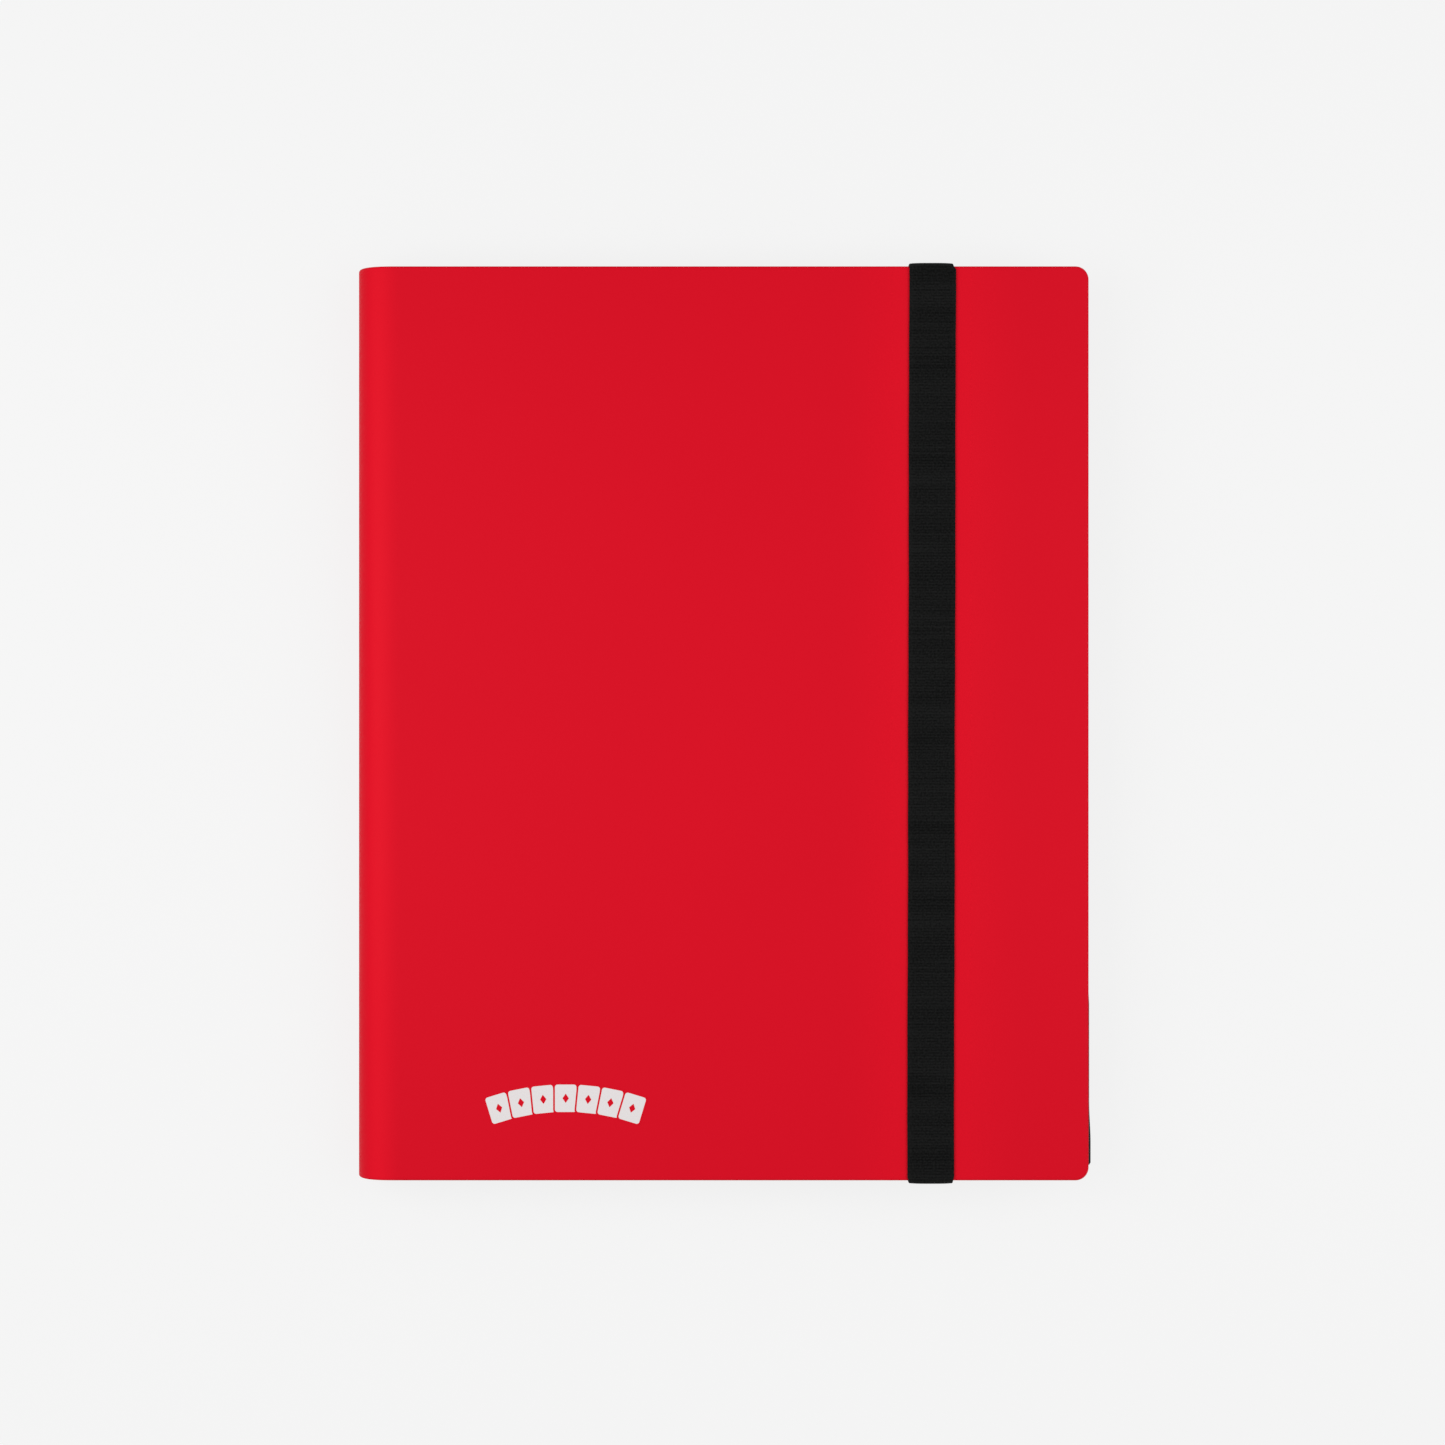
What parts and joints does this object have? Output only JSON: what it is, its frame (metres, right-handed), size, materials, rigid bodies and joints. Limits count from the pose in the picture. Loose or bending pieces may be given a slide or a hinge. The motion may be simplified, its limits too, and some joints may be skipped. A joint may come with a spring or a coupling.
{
  "type": "trading card binder",
  "caption": "Flexible zip-free trading card binder with side-loading pocket pages, a soft padded cover and an elastic strap closure.",
  "frame": {"origin": "on the table under the middle of the closed covers, lying on the back cover", "axes": "+X from the spine to the fore edge, +Y to the top edge, +Z out of the front cover"},
  "size_m": [0.2516, 0.3158, 0.0261],
  "materials": {
    "cover_red": "smooth matte red polyurethane cover",
    "board_grey": "grey recycled board",
    "lining_black": "black textured lining",
    "page_film": "clear pockets on a black core",
    "binding_black": "black binding strip",
    "strap_black": "ribbed black elastic"
  },
  "bodies": {
    "back_cover": {"back_skin": "cover_red", "back_board": "board_grey", "back_lining": "lining_black", "rear_crease_skin": "cover_red", "rear_crease_lining": "lining_black", "strap_tab_top": "strap_black", "strap_tab_bottom": "strap_black"},
    "spine": {"spine_skin": "cover_red", "spine_board": "board_grey", "spine_lining": "lining_black", "page_binding_strip": "binding_black"},
    "front_cover": {"front_skin": "cover_red", "front_board": "board_grey", "front_lining": "lining_black", "front_crease_skin": "cover_red", "front_crease_lining": "lining_black"},
    "strap": {"elastic_strap": "strap_black"},
    "page_01": {"page_01": "page_film"},
    "page_02": {"page_02": "page_film"},
    "page_03": {"page_03": "page_film"},
    "page_04": {"page_04": "page_film"},
    "page_05": {"page_05": "page_film"},
    "page_06": {"page_06": "page_film"},
    "page_07": {"page_07": "page_film"},
    "page_08": {"page_08": "page_film"},
    "page_09": {"page_09": "page_film"},
    "page_10": {"page_10": "page_film"},
    "page_11": {"page_11": "page_film"},
    "page_12": {"page_12": "page_film"},
    "page_13": {"page_13": "page_film"},
    "page_14": {"page_14": "page_film"},
    "page_15": {"page_15": "page_film"},
    "page_16": {"page_16": "page_film"},
    "page_17": {"page_17": "page_film"},
    "page_18": {"page_18": "page_film"},
    "page_19": {"page_19": "page_film"},
    "page_20": {"page_20": "page_film"}
  },
  "joints": [
    {"name": "spine_hinge", "type": "hinge", "parent": "back_cover", "child": "spine", "pos_m": [-0.12274, 0, 0.00301], "axis": [0, -1, 0], "range_deg": [0, 90], "deforming": ["rear_crease_skin", "rear_crease_lining"]},
    {"name": "front_hinge", "type": "hinge", "parent": "spine", "child": "front_cover", "pos_m": [-0.12274, 0, 0.02199], "axis": [0, -1, 0], "range_deg": [0, 90], "deforming": ["front_crease_skin", "front_crease_lining"]},
    {"name": "strap_swing", "type": "hinge", "parent": "back_cover", "child": "strap", "pos_m": [0.09065, 0, -0.0106], "axis": [0, 1, 0], "range_deg": [0, 90], "deforming": ["elastic_strap"]},
    {"name": "page_01_turn", "type": "hinge", "parent": "spine", "child": "page_01", "pos_m": [-0.11715, 0, 0.022], "axis": [0, -1, 0], "range_deg": [0, 92]},
    {"name": "page_02_turn", "type": "hinge", "parent": "spine", "child": "page_02", "pos_m": [-0.11643, 0, 0.021], "axis": [0, -1, 0], "range_deg": [0, 92]},
    {"name": "page_03_turn", "type": "hinge", "parent": "spine", "child": "page_03", "pos_m": [-0.11571, 0, 0.02], "axis": [0, -1, 0], "range_deg": [0, 92]},
    {"name": "page_04_turn", "type": "hinge", "parent": "spine", "child": "page_04", "pos_m": [-0.11499, 0, 0.019], "axis": [0, -1, 0], "range_deg": [0, 92]},
    {"name": "page_05_turn", "type": "hinge", "parent": "spine", "child": "page_05", "pos_m": [-0.11427, 0, 0.018], "axis": [0, -1, 0], "range_deg": [0, 92]},
    {"name": "page_06_turn", "type": "hinge", "parent": "spine", "child": "page_06", "pos_m": [-0.11355, 0, 0.017], "axis": [0, -1, 0], "range_deg": [0, 92]},
    {"name": "page_07_turn", "type": "hinge", "parent": "spine", "child": "page_07", "pos_m": [-0.11283, 0, 0.016], "axis": [0, -1, 0], "range_deg": [0, 92]},
    {"name": "page_08_turn", "type": "hinge", "parent": "spine", "child": "page_08", "pos_m": [-0.11211, 0, 0.015], "axis": [0, -1, 0], "range_deg": [0, 92]},
    {"name": "page_09_turn", "type": "hinge", "parent": "spine", "child": "page_09", "pos_m": [-0.11139, 0, 0.014], "axis": [0, -1, 0], "range_deg": [0, 92]},
    {"name": "page_10_turn", "type": "hinge", "parent": "spine", "child": "page_10", "pos_m": [-0.11067, 0, 0.013], "axis": [0, -1, 0], "range_deg": [0, 92]},
    {"name": "page_11_turn", "type": "hinge", "parent": "spine", "child": "page_11", "pos_m": [-0.11067, 0, 0.012], "axis": [0, -1, 0], "range_deg": [-92, 0]},
    {"name": "page_12_turn", "type": "hinge", "parent": "spine", "child": "page_12", "pos_m": [-0.11139, 0, 0.011], "axis": [0, -1, 0], "range_deg": [-92, 0]},
    {"name": "page_13_turn", "type": "hinge", "parent": "spine", "child": "page_13", "pos_m": [-0.11211, 0, 0.01], "axis": [0, -1, 0], "range_deg": [-92, 0]},
    {"name": "page_14_turn", "type": "hinge", "parent": "spine", "child": "page_14", "pos_m": [-0.11283, 0, 0.009], "axis": [0, -1, 0], "range_deg": [-92, 0]},
    {"name": "page_15_turn", "type": "hinge", "parent": "spine", "child": "page_15", "pos_m": [-0.11355, 0, 0.008], "axis": [0, -1, 0], "range_deg": [-92, 0]},
    {"name": "page_16_turn", "type": "hinge", "parent": "spine", "child": "page_16", "pos_m": [-0.11427, 0, 0.007], "axis": [0, -1, 0], "range_deg": [-92, 0]},
    {"name": "page_17_turn", "type": "hinge", "parent": "spine", "child": "page_17", "pos_m": [-0.11499, 0, 0.006], "axis": [0, -1, 0], "range_deg": [-92, 0]},
    {"name": "page_18_turn", "type": "hinge", "parent": "spine", "child": "page_18", "pos_m": [-0.11571, 0, 0.005], "axis": [0, -1, 0], "range_deg": [-92, 0]},
    {"name": "page_19_turn", "type": "hinge", "parent": "spine", "child": "page_19", "pos_m": [-0.11643, 0, 0.004], "axis": [0, -1, 0], "range_deg": [-92, 0]},
    {"name": "page_20_turn", "type": "hinge", "parent": "spine", "child": "page_20", "pos_m": [-0.11715, 0, 0.003], "axis": [0, -1, 0], "range_deg": [-92, 0]}
  ],
  "couplings": [
    {"joint": "front_hinge", "follows": "spine_hinge", "ratio": 1},
    {"joint": "strap_swing", "follows": "spine_hinge", "ratio": 1},
    {"joint": "page_01_turn", "follows": "spine_hinge", "ratio": 1.0156},
    {"joint": "page_02_turn", "follows": "spine_hinge", "ratio": 1.0156},
    {"joint": "page_03_turn", "follows": "spine_hinge", "ratio": 1.0156},
    {"joint": "page_04_turn", "follows": "spine_hinge", "ratio": 1.0156},
    {"joint": "page_05_turn", "follows": "spine_hinge", "ratio": 1.0156},
    {"joint": "page_06_turn", "follows": "spine_hinge", "ratio": 1.0156},
    {"joint": "page_07_turn", "follows": "spine_hinge", "ratio": 1.0156},
    {"joint": "page_08_turn", "follows": "spine_hinge", "ratio": 1.0156},
    {"joint": "page_09_turn", "follows": "spine_hinge", "ratio": 1.0156},
    {"joint": "page_10_turn", "follows": "spine_hinge", "ratio": 1.0156},
    {"joint": "page_11_turn", "follows": "spine_hinge", "ratio": -1.0156},
    {"joint": "page_12_turn", "follows": "spine_hinge", "ratio": -1.0156},
    {"joint": "page_13_turn", "follows": "spine_hinge", "ratio": -1.0156},
    {"joint": "page_14_turn", "follows": "spine_hinge", "ratio": -1.0156},
    {"joint": "page_15_turn", "follows": "spine_hinge", "ratio": -1.0156},
    {"joint": "page_16_turn", "follows": "spine_hinge", "ratio": -1.0156},
    {"joint": "page_17_turn", "follows": "spine_hinge", "ratio": -1.0156},
    {"joint": "page_18_turn", "follows": "spine_hinge", "ratio": -1.0156},
    {"joint": "page_19_turn", "follows": "spine_hinge", "ratio": -1.0156},
    {"joint": "page_20_turn", "follows": "spine_hinge", "ratio": -1.0156}
  ]
}
